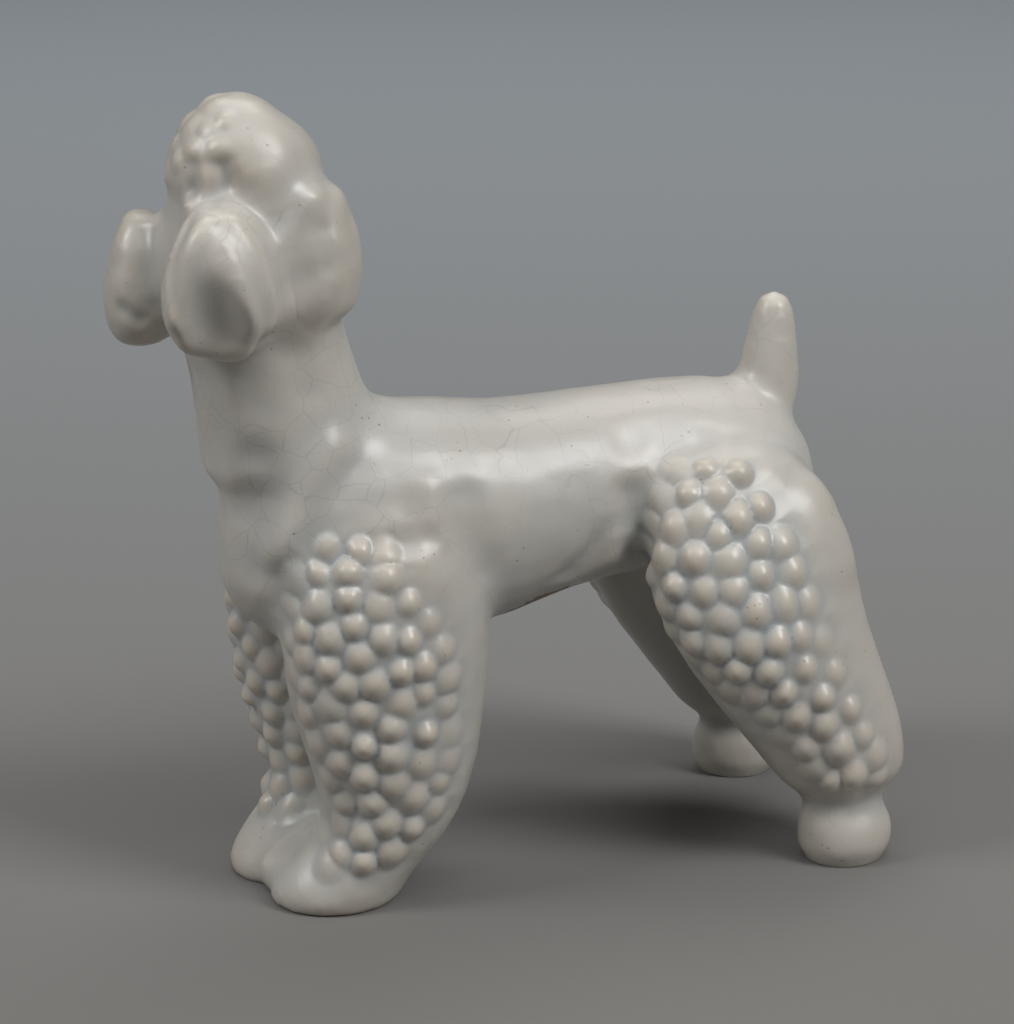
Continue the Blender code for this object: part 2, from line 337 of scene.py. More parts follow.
# broad soft joins, where the real clay runs from one form into the next
softJoins = [
    ("neck", 14, 0, -2, 17, 190), ("neck", 18, 7, -5, 13, 110), ("neck", 18, -7, -5, 13, 110),
    ("neck", -10, -8, -17, 11, 160), ("neck", -10, 8, -17, 11, 160),
    ("ear_left", -7, -8, 3, 12, 200), ("ear_left", -7, -6, -9, 9.5, 190),
    ("ear_left", -9, -7, -6, 9, 120), ("ear_left", -7, -5, 12, 9, 140),
    ("muzzle", 10, -1.5, 6, 8, 170), ("muzzle", 9, -2, -2, 8, 170), ("muzzle", 6, -1, 12, 5, 60),
    ("ear_right", 3, -7, 9, 9, 160), ("ear_right", 0, -8, 3, 8, 140),
    ("ear_right", 1, -8, -4, 7, 100), ("tail", -6, 0, -9, 8, 60),
    ("hindleg_left", 6, 4, 38, 14, 60), ("hindleg_right", 6, -4, 38, 14, 60),
    ("foreleg_left", -10, -4, 38, 12, 70), ("foreleg_right", -7, 4, 38, 12, 70),
]
touchUp(skin.fill, softJoins)
skin.relax(clayBody["joinCalming"])
print("joins filled")

# modelled marks, given one by one: nearest piece, points from its middle, width and depth (raised where
# negative), in millimetres; the first list is done on both sides
mirrored = [
    ("torso", [(18, -14.5, 15), (26, -14.2, 16), (32, -16, 14)], 6.5, 0.75),      # over the hip
    ("torso", [(16, -19, 5), (18, -19, -2), (20, -16, -9)], 5.2, 1.6),            # flank
    ("torso", [(3, -16, -10), (8, -18, -5), (13, -19, 0)], 3.0, 0.6),             # belly fold
    ("torso", [(5, -13, -13), (13, -15, -8)], 3.4, -0.5),
    ("torso", [(-43, -14.5, 20), (-50, -15, 11), (-55.5, -14, 0)], 5.5, -1.2),    # shoulder
    ("torso", [(-57, -11.5, 17), (-58, -11, 8), (-58.5, -10.5, -2)], 8.0, 1.4),   # beside the chest
    ("torso", [(-26, -19, 11), (-26, -21, 3)], 5.0, -0.7),                        # shoulder blade
    ("torso", [(-19, -20, 8), (-16, -21, -5)], 6.0, 0.6),
    ("foreleg_left", [(-16, -12, 36), (-4, -13, 38), (7, -10, 37)], 4.0, 0.8),    # top of the leg
    ("foreleg_left", [(-18, -6, 22), (-18, -5, 0), (-15, -5, -18)], 4.0, -0.7),   # its front edge
    ("hindleg_left", [(8, -2, 33), (11, -5, 22)], 9.0, -1.2),                     # back of the thigh
]
singleMarks = [
    ("muzzle", [(-4.5, -5, 12), (-7.5, -6.5, 7.5), (-10, -6, 1), (-10.5, -5, -6)], 3.4, -1.0),
    ("muzzle", [(1.3, -5, 12), (4, -7, 7), (5.5, -8, 0), (6.8, -5, -9)], 3.8, -1.2),
    ("muzzle", [(-5, 3, 12), (-8, -2, 9), (-10, -3, 5), (-11, -4, 0), (-10.5, -5, -6)], 1.7, -0.7),
    ("muzzle", [(-4, 6, 12.5)], 3.4, -1.3),                                       # nose bridge
    ("topknot", [(-7.8, -12.3, -2), (-8, -12.5, -6.5)], 4.6, 2.0),                # between the eyes
    ("topknot", [(-12.3, -8, -2), (-12.6, -8, -6)], 2.6, 1.1),                    # far eye
    ("topknot", [(-6, -13.7, -5), (-3.3, -15, -8.2), (-1, -15.6, -11.5)], 4.4, 1.6),
    ("muzzle", [(-3, -8, -14), (2, -6, -14)], 5.0, -1.2),                         # chin
    ("muzzle", [(7.5, -5, -11), (6, -6, -14)], 5.0, 1.0),                         # end of the lip
    ("ear_left", [(-7, -6, -9), (-6, -7, -13)], 7.0, -1.5),
    ("neck", [(-14, -2, 1), (-14.5, -3, -11)], 11.0, 2.0),                        # throat
    ("torso", [(-62, 3, 4), (-61, 3, -2)], 9.0, 0.7),                             # front of the chest
    ("topknot", [(9, -3, 8)], 10.0, 1.3),                                         # back of the crown
    ("topknot", [(9, 6, 7)], 10.0, 0.8),
    ("torso", [(59, 0, 15)], 9.0, 1.5),                                           # under the tail
    ("ear_left", [(-1.5, -8, 6), (-2, -9, -2)], 2.2, 0.5),
    ("ear_right", [(-6, -8, -4), (-3, -9, -6)], 2.2, 0.9),
    ("ear_right", [(1, -6, 9), (-1, -8.5, 3), (0, -9, -3)], 3.0, 0.5),
    ("neck", [(1, -14, 12), (2, -14, 2)], 6.0, 0.5),
]
normal = skin.normals(calm=4)
for nodeName, points, width, depth in mirrored:
    for side in (1, -1):
        name = nodeName if side > 0 else nodeName.replace("left", "right")
        line = [spot(name, x, side * y, z) for x, y, z in points]
        skin.press(line, width * mm, depth * mm, normal)
for nodeName, points, width, depth in singleMarks:
    skin.press([spot(nodeName, *p) for p in points], width * mm, depth * mm, normal)

# under the nose the jaw falls back between two hanging lips; millimetres from the muzzle's middle
jaw = dict(
    top=5.5, bottom=-9, depth=4.4, halfWidth=7.4, widths=(0.55, 0.45), edge=1.3, front=(-1, 5),
    shift=1.9, limits=(12, 18, 16),
)
facing = np.array((-math.cos(math.radians(headTurn)), -math.sin(math.radians(headTurn)), 0.0))
across = np.array((-facing[1], facing[0], 0.0))
offset = (skin.co - middleOf("muzzle")) / mm
ahead, sideways, up = offset @ facing, offset @ across - jaw["shift"], offset[:, 2]
fall = smooth((jaw["top"] - up) / (jaw["top"] - jaw["bottom"]))
halfWidth = jaw["halfWidth"] * (jaw["widths"][0] + jaw["widths"][1] * fall)
sides = np.clip(1.0 - (sideways / halfWidth) ** 2, 0.0, 1.0) ** jaw["edge"]
fore = smooth((ahead - jaw["front"][0]) / (jaw["front"][1] - jaw["front"][0]))
besides, above, beyond = jaw["limits"]
fore *= (np.abs(sideways) < besides) & (np.abs(up) < above) & (ahead < beyond)
skin.co -= (fall * sides * fore * jaw["depth"] * mm)[:, None] * facing

# smoothed over with a wet sponge: head first, then the barrel, shoulders and chest
barrelSponge = 44
touchUp(skin.fill, [("topknot", -4, -14, -10, 6, 60)])
touchUp(skin.relax, [
    ("topknot", -5, -13, -9, 10, 30), ("topknot", -1.5, -15, -11, 7, 40),
    ("ear_left", -7, -7, -9, 10, 30), ("topknot", 6.5, -14, -5, 7, 40),
])
skin.relax(barrelSponge, weight=barrel)
touchUp(skin.relax, [
    ("neck", -9, -9, -14, 14, 80), ("torso", -29, -16, 17, 12, 40),
    ("neck", -9, 9, -14, 14, 80), ("torso", -29, 16, 17, 12, 40),
])
touchUp(skin.fill, [("torso", -61.5, 0, 14, 11, 170)])
touchUp(skin.relax, [("topknot", -11, -8, -6, 9, 8)])

# each hind paw swells out below a narrow ankle
ankle = dict(
    height=13 * mm, reach=6.5 * mm, taper=1.6, depth=3.4 * mm, toeHeight=5.5 * mm, toe=-0.4 * mm,
    under=2.6 * mm, tuck=1.3 * mm, calming=3,
)
for name in ("hindleg_left", "hindleg_right"):
    mine = (owner == pieceNames.index(name)).astype(float)
    z = skin.co[:, 2]
    narrow = np.exp(-((z - ankle["height"]) / ankle["reach"] * ankle["taper"]) ** 2) * ankle["depth"]
    wide = np.exp(-((z - ankle["toeHeight"]) / ankle["reach"] * ankle["taper"]) ** 2) * ankle["toe"]
    under = np.exp(-(z / ankle["under"]) ** 2) * ankle["tuck"]
    skin.co -= (normal * (1, 1, 0)) * (mine * (narrow - wide + under))[:, None]
skin.relax(ankle["calming"])
print("hand marks pressed in")

# front paws run together between the legs
touchUp(skin.fill, [("foreleg_left", -19, 10, -36, 11, 220), ("foreleg_left", -13, 12, -33, 8, 90)])

# slow unevenness of a slip-cast, hand-finished surface, stronger on the combed ears:
# breadth of a wave, its height, and where in the noise it starts
unevenness = dict(
    broad=(11 * mm, 0.22 * mm, Vector((3, 1, 7))), small=(4.5 * mm, 0.07 * mm, Vector((9, 4, 2))),
    ears=(5.5 * mm, 0.36 * mm, Vector((5, 8, 1))), earSpread=6, earLeast=0.02,
)
normal = skin.normals(calm=2)
earOwners = [pieceNames.index("ear_left"), pieceNames.index("ear_right")]
onEars = np.isin(owner, earOwners).astype(float)
for _ in range(unevenness["earSpread"]):
    onEars = skin.around(onEars)


def wave(points, size, shift):
    return np.array([noise.noise(Vector(p / size) + shift) for p in points])


def swells(points, kind):
    breadth, height, start = unevenness[kind]
    return wave(points, breadth, start) * height


rise = swells(skin.co, "broad")
rise += swells(skin.co, "small")
lobes = np.zeros(len(skin.co))
picked = np.nonzero(onEars > unevenness["earLeast"])[0]
lobes[picked] = swells(skin.co[picked], "ears")
skin.co += normal * (rise + lobes * onEars)[:, None]
skin.done()

for name, values in zip(pieceNames, distances):
    clay.data.attributes.new("gap_" + name, "FLOAT", "POINT").data.foreach_set("value", values)
finer = clay.modifiers.new("finer", "SUBSURF")
finer.levels = finer.render_levels = 1
applied(clay)
fine = Skin(clay.data)
fineDistance = np.empty((len(pieceNames), len(fine.co)))
for k, name in enumerate(pieceNames):
    clay.data.attributes["gap_" + name].data.foreach_get("value", fineDistance[k])
    clay.data.attributes.remove(clay.data.attributes["gap_" + name])
print("finer clay:", len(fine.co), "points")

# curls: each leg's wool as small round beads, over a stretch of its girth and height
legCurls = dict(spacing=5.9 * mm, radius=3.75 * mm, height=1.7 * mm, sink=0.5 * mm)
curlMix = dict(sizes=(0.80, 1.12), heights=(0.62, 1.15), crest=1.5, softCrest=2, bed=1.35)
curlReach = 70 * mm                            # no curl reaches further than this from its own leg's middle
legDepth = 2.2 * mm                            # clay this close to a CAD leg counts as that leg
beadSquash = dict(hindleg=0.86, foreleg=0.94)  # beads stand a little taller than wide
# fainter curls round the border, in degrees: least share, the rest, and how soon it is full
faintBorder = 16
faintFront = (0.45, 0.55, 26.0)
faintBack = (0.3, 0.7, 30.0)
# for each leg, rows of height in millimetres with the first and last angle round it
foreRows = [(9, -8, 50), (20, -36, 60), (35, -48, 66), (55, -40, 74), (67, -30, 88), (78, -18, 98)]
farForeRows = [
    (12, -5, 118), (20, -25, 122), (35, -32, 128), (55, -22, 128), (67, -16, 128), (78, -12, 120),
]
hindRows = [
    (17, -42, 26), (27, -38, 36), (36, -34, 50), (45, -30, 72), (56, -34, 88), (70, -30, 94),
    (86, -14, 90),
]
curlBands = {
    "foreleg_left": foreRows, "foreleg_right": farForeRows,
    "hindleg_left": hindRows, "hindleg_right": hindRows,
}
curlRise = np.zeros(len(fine.co))


def legTurn(points, nodeName, slices=14, halfBand=6 * mm):
    # angle round the leg from straight out towards the front, about the leg's own centre line
    low, high = (np.array(corner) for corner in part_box(nodeName))
    side = 1.0 if (low[1] + high[1]) > 0 else -1.0
    verts = np.array([v.co for v in shells[nodeName].verts])
    levels = np.linspace(low[2], high[2], slices)
    centres = []
    for level in levels:
        band = verts[np.abs(verts[:, 2] - level) < halfBand]
        centres.append([(band[:, 0].min() + band[:, 0].max()) / 2,
                        (band[:, 1].min() + band[:, 1].max()) / 2])
    centres = np.array(centres)
    cx = np.interp(points[:, 2], levels, centres[:, 0])
    cy = np.interp(points[:, 2], levels, centres[:, 1])
    return np.degrees(np.arctan2(-(points[:, 0] - cx), side * (points[:, 1] - cy)))


def scatter(points, spacing, loosen=4, closest=0.84):
    # evenly spread seeds: darts first, then each seed moves to the middle of its share
    seeds = np.empty((0, 3))
    for i in rng.permutation(len(points)):
        if not len(seeds) or ((seeds - points[i]) ** 2).sum(1).min() > (spacing * closest) ** 2:
            seeds = np.vstack([seeds, points[i]])
    for _ in range(loosen):
        near = nearestTwo(points, seeds)[0]
        for k in range(len(seeds)):
            share = points[near == k]
            if len(share):
                middle = share.mean(axis=0)
                seeds[k] = share[np.argmin(((share - middle) ** 2).sum(1))]
    return seeds


def nearestTwo(points, seeds, batch=20000):
    first = np.zeros(len(points), int)
    gaps = np.zeros((len(points), 2))
    for start in range(0, len(points), batch):
        block = points[start:start + batch]
        all2 = ((block[:, None, :] - seeds[None]) ** 2).sum(2)
        two = np.argpartition(all2, 1, axis=1)[:, :2]
        pair = np.sqrt(np.take_along_axis(all2, two, axis=1))
        swap = pair[:, 0] > pair[:, 1]
        two[swap] = two[swap][:, ::-1]
        pair[swap] = pair[swap][:, ::-1]
        first[start:start + batch] = two[:, 0]
        gaps[start:start + batch] = pair
    return first, gaps


def raiseCurls(mask, spacing, radius, height, sink, squash=1.0, seeds=None, fade=None, soft=False):
    zone = np.nonzero(mask)[0]
    points = fine.co[zone] * np.array((1, 1, squash))
    if seeds is None:
        seeds = scatter(points, spacing)
    size = radius * rng.uniform(*curlMix["sizes"], len(seeds))
    tall = height * rng.uniform(*curlMix["heights"], len(seeds)) * (1.0 if fade is None else fade(seeds))
    apart = np.linalg.norm(fine.co - fine.co[zone].mean(axis=0), axis=1)
    halo = np.nonzero(apart < curlReach)[0]
    around = fine.co[halo] * np.array((1, 1, squash))
    first, gaps = nearestTwo(around, seeds)
    if soft:
        # low mounds that run into each other
        every = np.linalg.norm(around[:, None, :] - seeds[None], axis=2) / size
        mounds = np.clip(1.0 - every ** 2, 0.0, 1.0) ** curlMix["softCrest"] * tall
        dome = mounds.max(axis=1) / tall[first]
    else:
        dome = np.clip(1.0 - (gaps[:, 0] / size[first]) ** 2, 0.0, 1.0) ** curlMix["crest"]
    bed = smooth(curlMix["bed"] - gaps[:, 0] / spacing)
    rise = dome * tall[first] - bed * sink
    stronger = np.abs(rise) > np.abs(curlRise[halo])
    curlRise[halo[stronger]] = rise[stronger]
    return len(seeds)


def fadeIn(share, figures):
    least, rest, full = figures
    return least + rest * np.clip(share / full, 0.0, 1.0)


count = 0
for nodeName, rows in curlBands.items():
    mine = fineDistance[pieceNames.index(nodeName)] < legDepth
    turn = legTurn(fine.co, nodeName)
    height = fine.co[:, 2] / mm
    levels, starts, stops = np.array(rows, float).T
    mask = mine & (turn > np.interp(height, levels, starts))
    mask &= turn < np.interp(height, levels, stops) + faintBorder
    mask &= (height > levels[0]) & (height < levels[-1])
    squash = beadSquash[nodeName.split("_")[0]]

    def fade(seeds):
        places = seeds / np.array((1, 1, squash))
        turn, height = legTurn(places, nodeName), places[:, 2] / mm
        inside = turn - np.interp(height, levels, starts)
        outside = np.interp(height, levels, stops) + faintBorder - turn
        return fadeIn(inside, faintFront) * fadeIn(outside, faintBack)

    count += raiseCurls(mask, squash=squash, fade=fade, **legCurls)

# curls over the brow, on the side of the topknot that the face looks to
faceAxis = facing[:2]
knot = middleOf("topknot")
offset = fine.co[:, :2] - knot[:2]
rightOf = np.array((-faceAxis[1], faceAxis[0]))
bearing = np.degrees(np.arctan2(offset @ rightOf, offset @ faceAxis))
z = (fine.co[:, 2] - knot[2]) / mm
knotBand = dict(depth=1.4 * mm, bottom=-8, top=10)
onKnot = fineDistance[pieceNames.index("topknot")] < knotBand["depth"]
onKnot &= (z > knotBand["bottom"]) & (z < knotBand["top"])
browCurls = dict(spacing=5.6 * mm, radius=3.6 * mm, height=0.55 * mm, sink=0.0, soft=True)
# bearing from the face in degrees, and height from the middle of the topknot in millimetres
browPlaces = [
    (-21, 4.9), (-6, 1.9), (-29, 1.2), (-47, 4.6), (-43, -1.2), (-9, -3.4), (12, -3.2),
    (-25, -2.6), (-4, 6.6), (-62, 1.4), (-78, 4.8), (-61, -4.4), (-82, -1.5), (-102, 2.4),
    (-101, -4.2), (-38, 8.6), (-84, 8.6),
]
knotArc = 0.24                                 # millimetres round the topknot for one degree
where = np.nonzero(onKnot)[0]
browSeeds = []
for turn, up in browPlaces:
    miss = ((bearing[where] - turn) * knotArc) ** 2 + (z[where] - up) ** 2
    browSeeds.append(fine.co[where[np.argmin(miss)]])
count += raiseCurls(onKnot, seeds=np.array(browSeeds), **browCurls)
print("curls raised:", count)

normal = fine.normals(calm=6)
fine.co += normal * curlRise[:, None]
curlSoften = dict(least=0.02 * mm, share=0.7, rounds=3, outward=-0.3)
curlWeight = (np.abs(curlRise) > curlSoften["least"]).astype(float)
fine.relax(curlSoften["rounds"], weight=curlWeight * curlSoften["share"], outward=curlSoften["outward"])
fine.co[:, 2] = np.maximum(fine.co[:, 2], 0.0)
fine.done()

# how proud each point stands of the calm surface: crests of the curls high, hollows low
reliefFigures = dict(rounds=26, pace=0.6, middle=0.5, spread=0.9 * mm)
calm = Skin(clay.data)
for _ in range(reliefFigures["rounds"]):
    calm.co += reliefFigures["pace"] * (calm.around(calm.co) - calm.co)
skinNormal = fine.normals()
relief = ((fine.co - calm.co) * skinNormal).sum(1)
relief = np.clip(reliefFigures["middle"] + relief / reliefFigures["spread"], 0.0, 1.0)
skinTree = KDTree(len(fine.co))
for i, place in enumerate(fine.co):
    skinTree.insert(place, i)
skinTree.balance()
print("relief read")

# the clay is cut back into its pieces, each along the CAD joints with the pieces still uncut
seam = dict(reach=3.0 * mm, keepOff=1.0 * mm, voxel=1.2 * mm, nearby=8 * mm)
cutOrder = [
    "tail", "hindleg_left", "hindleg_right", "foreleg_left", "foreleg_right", "ear_left",
    "ear_right", "muzzle", "topknot", "skull", "neck",
]
blocks = {}
for name in cutOrder[1:] + ["torso"]:
    block = linked(name + "Block", shellMeshes[name].copy())
    blocks[name] = grow(block, seam["keepOff"], seam["voxel"])


def closeBoxes(first, second, margin):
    (low, high), (otherLow, otherHigh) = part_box(first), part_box(second)
    return all(low[i] - margin < otherHigh[i] and otherLow[i] - margin < high[i]
               for i in range(3))


def sideBlock(side, size=0.4):
    # a big block on one side of the dog's middle plane
    bm = bmesh.new()
    bmesh.ops.create_cube(bm, size=size)
    bmesh.ops.translate(bm, verts=bm.verts, vec=(0, side * size / 2, 0))
    block = linked("sideBlock", meshOf(bm, "sideBlock"))
    bm.free()
    return block


def removed(piece):
    mesh = piece.data
    bpy.data.objects.remove(piece)
    bpy.data.meshes.remove(mesh)


pieces = {}
for k, name in enumerate(cutOrder):
    shape = grow(linked(name + "Cutter", shellMeshes[name].copy()), seam["reach"], seam["voxel"])
    for later in cutOrder[k + 1:] + ["torso"]:
        if closeBoxes(name, later, seam["nearby"]):
            carve(shape, blocks[later], "DIFFERENCE")
    if name.startswith("foreleg"):
        block = sideBlock(-1 if name.endswith("left") else 1)
        carve(shape, block, "INTERSECT")
        removed(block)
    part = linked(name + "Skin", clay.data.copy())
    carve(part, shape, "INTERSECT")
    carve(clay, shape, "DIFFERENCE")
    removed(shape)
    pieces[name] = part
    print("cut", name, len(part.data.polygons), "faces, left on the dog", len(clay.data.polygons))
pieces["torso"] = clay
for block in blocks.values():
    removed(block)

crumb = 60                                     # points in a stray crumb of clay
for name, part in pieces.items():
    bm = bmesh.new()
    bm.from_mesh(part.data)
    for group in islands(bm)[1:]:
        if len(group) < crumb:
            bmesh.ops.delete(bm, geom=group, context="VERTS")
    bm.to_mesh(part.data)
    bm.free()

# the pour hole's ragged edge: a slow wander and a quicker one, each with its place in the noise
pour = dict(
    length=19 * mm, width=17 * mm, ragged=0.9 * mm, bottom=45 * mm, top=70 * mm, points=64,
    wanders=((2.2, 0.3, 1.0), (7, 2.3, 0.5)),
)
openings = {o["name"]: np.array(o["box_m"]) for o in frame["record"]["physics"]["openings"]}


def pourCutter():
    bm = bmesh.new()
    bmesh.ops.create_circle(bm, cap_ends=True, segments=pour["points"], radius=1.0)
    middle = openings["pour_hole"].mean(axis=0)
    for vert in bm.verts:
        turn = math.atan2(vert.co.y, vert.co.x)
        jag = 0.0
        for pitch, place, share in pour["wanders"]:
            around = Vector((math.cos(turn) * pitch, math.sin(turn) * pitch, place))
            jag += noise.noise(around) * pour["ragged"] * share
        vert.co = Vector((middle[0] + math.cos(turn) * (pour["length"] / 2 + jag),
                          middle[1] + math.sin(turn) * (pour["width"] / 2 + jag), pour["bottom"]))
    stretch = bmesh.ops.extrude_face_region(bm, geom=bm.faces[:])
    raised = [v for v in stretch["geom"] if isinstance(v, bmesh.types.BMVert)]
    bmesh.ops.translate(bm, verts=raised, vec=(0, 0, pour["top"] - pour["bottom"]))
    bmesh.ops.recalc_face_normals(bm, faces=bm.faces)
    cutter = linked("pourCutter", meshOf(bm, "pourCutter"))
    bm.free()
    return cutter


thickerWall = 1.6 * mm                         # kept under the deepest hand marks
castHollow = grow(linked("castHollow", hollowMesh), -thickerWall)
carve(pieces["torso"], castHollow, "DIFFERENCE")
removed(castHollow)
pourTool = pourCutter()
carve(pieces["torso"], pourTool, "DIFFERENCE")
removed(pourTool)
print("torso hollowed:", len(pieces["torso"].data.polygons), "faces")


def nodeAt(tree, kind, **inputs):
    node = tree.nodes.new(kind)
    for key, value in inputs.items():
        if key.startswith("in_"):
            node.inputs[key[3:].replace("_", " ")].default_value = value
        else:
            setattr(node, key, value)
    return node


def mixColour(tree, factor, first, second, blend="MIX"):
    node = tree.nodes.new("ShaderNodeMix")
    node.data_type = "RGBA"
    node.blend_type = blend
    for socket, value in ((node.inputs[0], factor), (node.inputs[6], first), (node.inputs[7], second)):
        if isinstance(value, bpy.types.NodeSocket):
            tree.links.new(value, socket)
        else:
            socket.default_value = value
    return node.outputs[2]


def ranged(tree, value, fromLow, fromHigh, toLow, toHigh):
    node = nodeAt(tree, "ShaderNodeMapRange", interpolation_type="SMOOTHSTEP", in_From_Min=fromLow,
                  in_From_Max=fromHigh, in_To_Min=toLow, in_To_Max=toHigh)
    tree.links.new(value, node.inputs["Value"])
    return node.outputs["Result"]


def times(tree, first, second):
    node = nodeAt(tree, "ShaderNodeMath", operation="MULTIPLY")
    for socket, value in zip(node.inputs, (first, second)):
        if isinstance(value, bpy.types.NodeSocket):
            tree.links.new(value, socket)
        else:
            socket.default_value = value
    return node.outputs[0]


# glaze colours along the relief: the dark hollow colour is pooled glaze and painted shade in hollows and
# creases, the light crest colour is thin glaze and painted light on the crests
glazes = {
    "bodyGlaze": dict(
        pooledAndShaded=(0.395, 0.415, 0.415, 1), even=(0.535, 0.525, 0.49, 1), thinAndLit=(0.60, 0.56, 0.49, 1),
        crazing=0.24, pinholes=0.6, roughness=0.37,
    ),
    "curlGlaze": dict(
        pooledAndShaded=(0.36, 0.385, 0.395, 1), even=(0.50, 0.485, 0.445, 1), thinAndLit=(0.585, 0.525, 0.44, 1),
        crazing=0.10, pinholes=0.45, roughness=0.35,
    ),
}
# noise rows: scale, detail, roughness, and the two levels between which it comes in
glazeFigures = dict(
    ramp=(0.12, 0.5, 0.88),
    drift=(26, 3.0, 0.5, 0.36, 0.66), driftShare=0.42, driftColour=(0.56, 0.505, 0.43, 1),
    cloud=(85, 4.0, 0.62, 0.40, 0.70), cloudShare=0.25, cloudColour=(0.47, 0.49, 0.485, 1),
    bend=(75, 3.0), bendReach=0.0055,
    crazePatches=(38, 2.0, 0.5, 0.40, 0.60), crazeLeast=0.25,
    crazeCells=((135, 0.020, 1.0), (290, 0.028, 0.38)), crazeColour=(0.20, 0.205, 0.20, 1),
    speckScale=620, speckSize=(0.10, 0.20), speckColour=(0.13, 0.11, 0.085, 1),
    speckPick=(330, 1.0, 0.5, 0.56, 0.62), speckPatches=(55, 2.0, 0.5, 0.46, 0.58), speckLeast=0.12,
    gloss=(140, 3.0, 0.5, 0.3, 0.7), glossLess=0.03, glossMore=0.07,
    coat=0.20, coatRoughness=0.29, refraction=1.5,
    ripple=(230, 3.0), rippleStrength=0.10, rippleHeight=0.0006, pitStrength=0.5, pitDepth=0.0002,
)


def makeGlaze(name, look):
    material = bpy.data.materials.new(name)
    material.use_nodes = True
    tree = material.node_tree
    shader = tree.nodes["Principled BSDF"]
    place = tree.nodes.new("ShaderNodeTexCoord").outputs["Object"]
    height = nodeAt(tree, "ShaderNodeAttribute", attribute_name="relief").outputs["Fac"]
    figures = glazeFigures

    def pattern(scale, detail=2.0, roughness=0.5):
        node = nodeAt(tree, "ShaderNodeTexNoise", in_Scale=scale, in_Detail=detail,
                      in_Roughness=roughness)
        tree.links.new(place, node.inputs["Vector"])
        return node

    def patches(key, least=0.0, most=1.0):
        scale, detail, roughness, low, high = figures[key]
        return ranged(tree, pattern(scale, detail, roughness).outputs["Fac"], low, high, least, most)

    # colour by relief: painted shade darkens the hollows between curls and in creases, painted light
    # brightens the crests, over a real pooling of the glaze
    ramp = tree.nodes.new("ShaderNodeValToRGB")
    low, middle, high = figures["ramp"]
    ramp.color_ramp.elements[0].position = low
    ramp.color_ramp.elements[0].color = look["pooledAndShaded"]
    ramp.color_ramp.elements[1].position = high
    ramp.color_ramp.elements[1].color = look["thinAndLit"]
    ramp.color_ramp.elements.new(middle).color = look["even"]
    tree.links.new(height, ramp.inputs["Fac"])
    colour = ramp.outputs["Color"]

    # the glaze drifts between cooler and warmer, and thins in small clouds
    for key in ("drift", "cloud"):
        share = times(tree, patches(key), figures[key + "Share"])
        colour = mixColour(tree, share, colour, figures[key + "Colour"])

    # fine grey craze lines in uneven cells, stronger in some places than others
    warped = nodeAt(tree, "ShaderNodeVectorMath", operation="MULTIPLY_ADD")
    tree.links.new(pattern(*figures["bend"]).outputs["Color"], warped.inputs[0])
    warped.inputs[1].default_value = (figures["bendReach"],) * 3
    tree.links.new(place, warped.inputs[2])
    crazeMask = patches("crazePatches", figures["crazeLeast"])
    for scale, width, strength in figures["crazeCells"]:
        cells = nodeAt(tree, "ShaderNodeTexVoronoi", feature="DISTANCE_TO_EDGE", in_Scale=scale)
        tree.links.new(warped.outputs[0], cells.inputs["Vector"])
        line = ranged(tree, cells.outputs["Distance"], 0.0, width, 1.0, 0.0)
        line = times(tree, times(tree, line, crazeMask), look["crazing"] * strength)
        colour = mixColour(tree, line, colour, figures["crazeColour"])

    # pinholes, in patches where the glaze bubbled
    specks = nodeAt(tree, "ShaderNodeTexVoronoi", feature="F1", in_Scale=figures["speckScale"])
    tree.links.new(place, specks.inputs["Vector"])
    dot = ranged(tree, specks.outputs["Distance"], *figures["speckSize"], 1.0, 0.0)
    dot = times(tree, dot, patches("speckPick"))
    dot = times(tree, dot, times(tree, patches("speckPatches", figures["speckLeast"]), look["pinholes"]))
    colour = mixColour(tree, dot, colour, figures["speckColour"])
    tree.links.new(colour, shader.inputs["Base Color"])

    gloss = patches("gloss", look["roughness"] - figures["glossLess"],
                    look["roughness"] + figures["glossMore"])
    tree.links.new(gloss, shader.inputs["Roughness"])
    shader.inputs["Coat Weight"].default_value = figures["coat"]
    shader.inputs["Coat Roughness"].default_value = figures["coatRoughness"]
    shader.inputs["IOR"].default_value = figures["refraction"]

    ripple = nodeAt(tree, "ShaderNodeBump", in_Strength=figures["rippleStrength"],
                    in_Distance=figures["rippleHeight"])
    tree.links.new(pattern(*figures["ripple"]).outputs["Fac"], ripple.inputs["Height"])
    pits = nodeAt(tree, "ShaderNodeBump", in_Strength=figures["pitStrength"],
                  in_Distance=figures["pitDepth"], invert=True)
    tree.links.new(dot, pits.inputs["Height"])
    tree.links.new(ripple.outputs["Normal"], pits.inputs["Normal"])
    tree.links.new(pits.outputs["Normal"], shader.inputs["Normal"])
    return material


bareFigures = dict(
    grit=(900, 4.0), stain=(110, 3.0), stainLevels=(0.4, 0.65), pale=(0.34, 0.27, 0.20, 1),
    dark=(0.13, 0.10, 0.075, 1), roughness=0.85, bump=0.35, bumpHeight=0.0003,
)


def makeBareClay():
    material = bpy.data.materials.new("bareClay")
    material.use_nodes = True
    tree = material.node_tree
    shader = tree.nodes["Principled BSDF"]
    place = tree.nodes.new("ShaderNodeTexCoord").outputs["Object"]
    figures = bareFigures
    noises = {}
    for key in ("grit", "stain"):
        scale, detail = figures[key]
        noises[key] = nodeAt(tree, "ShaderNodeTexNoise", in_Scale=scale, in_Detail=detail)
        tree.links.new(place, noises[key].inputs["Vector"])
    stained = ranged(tree, noises["stain"].outputs["Fac"], *figures["stainLevels"], 0.0, 1.0)
    colour = mixColour(tree, stained, figures["pale"], figures["dark"])
    tree.links.new(colour, shader.inputs["Base Color"])
    shader.inputs["Roughness"].default_value = figures["roughness"]
    bump = nodeAt(tree, "ShaderNodeBump", in_Strength=figures["bump"],
                  in_Distance=figures["bumpHeight"])
    tree.links.new(noises["grit"].outputs["Fac"], bump.inputs["Height"])
    tree.links.new(bump.outputs["Normal"], shader.inputs["Normal"])
    return material


